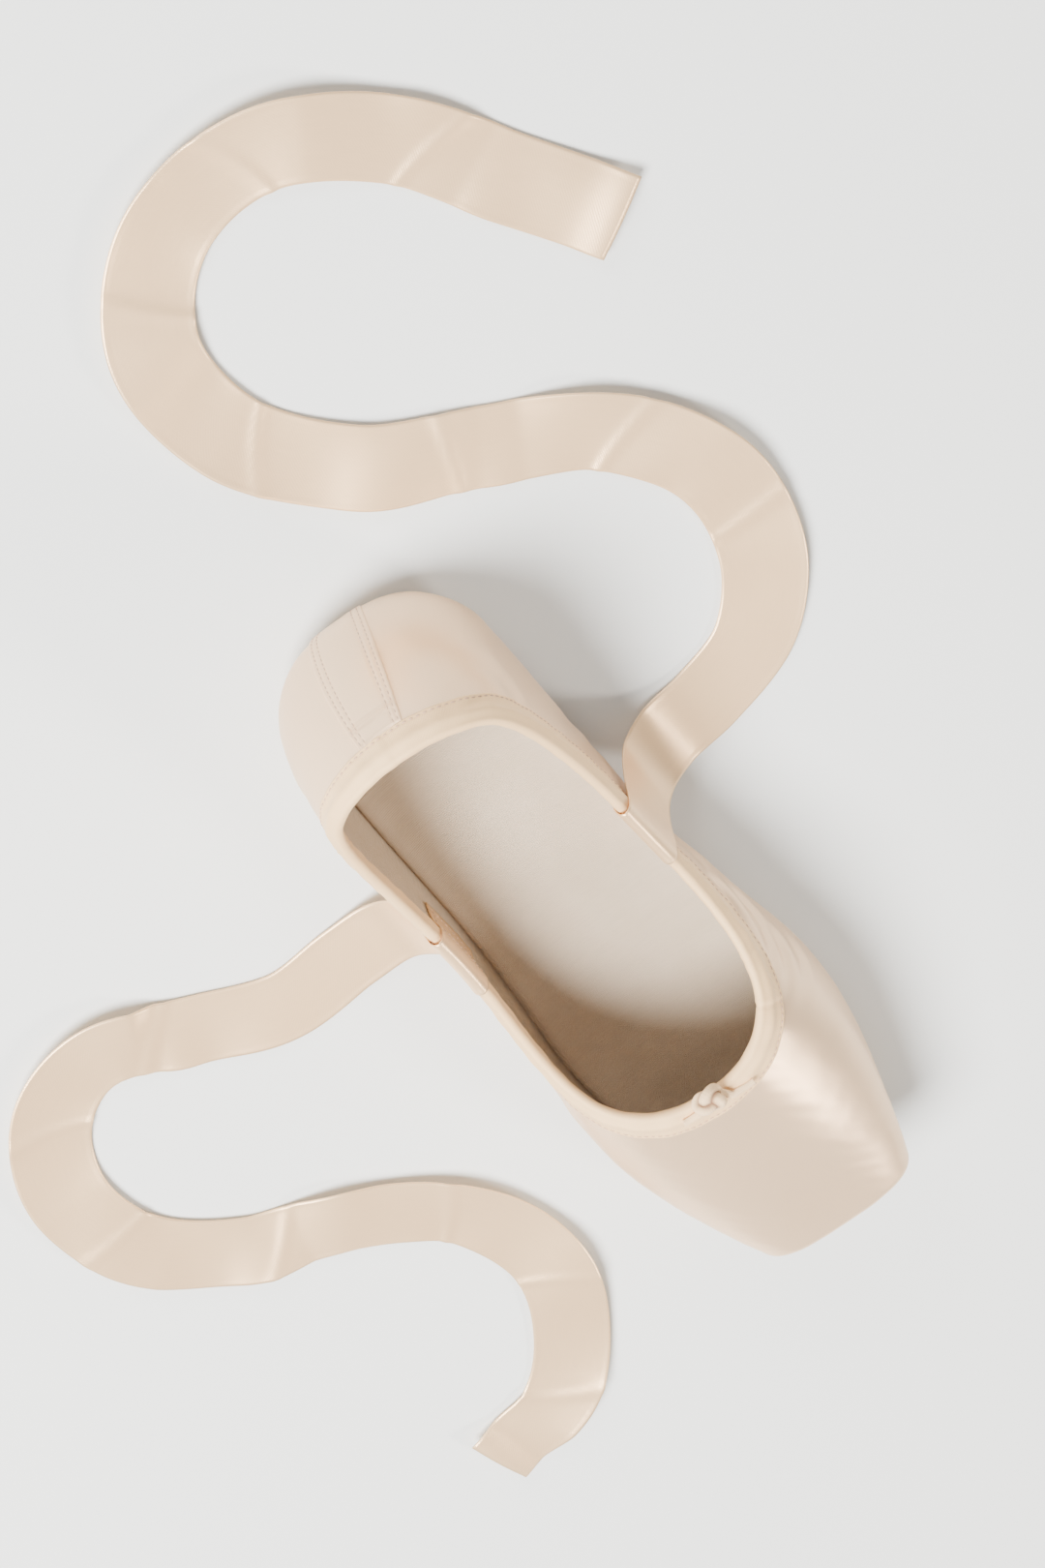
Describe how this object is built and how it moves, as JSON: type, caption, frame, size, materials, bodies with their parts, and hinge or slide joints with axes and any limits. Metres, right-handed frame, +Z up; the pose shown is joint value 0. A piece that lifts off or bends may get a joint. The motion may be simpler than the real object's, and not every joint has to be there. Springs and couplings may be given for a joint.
{
  "type": "pointe shoe",
  "caption": "Satin pointe shoe with a blocked toe, flat toe platform, leather outsole, bound collar with a drawstring and loose ankle ribbons.",
  "frame": {"origin": "on the floor under the middle of the shoe's length and width, ribbons left out", "axes": "+X from heel to toe, +Y to the wearer's left, +Z up"},
  "size_m": [0.3902, 0.2943, 0.0609],
  "materials": {
    "satin": "pale peach satin, long floats along the shoe",
    "binding": "folded cotton tape with a soft sheen",
    "leather": "undyed tan leather with scored lines, edge stitched",
    "lining": "plain cotton canvas",
    "cord": "woven cotton drawstring",
    "ribbon": "satin ribbon with woven edges"
  },
  "bodies": {
    "root": {"upper": "satin", "binding": "binding", "outsole": "leather", "insole": "lining", "back_strip": "satin", "drawstring_knot": "cord", "ribbon_left": "ribbon", "ribbon_right": "ribbon"}
  },
  "joints": []
}
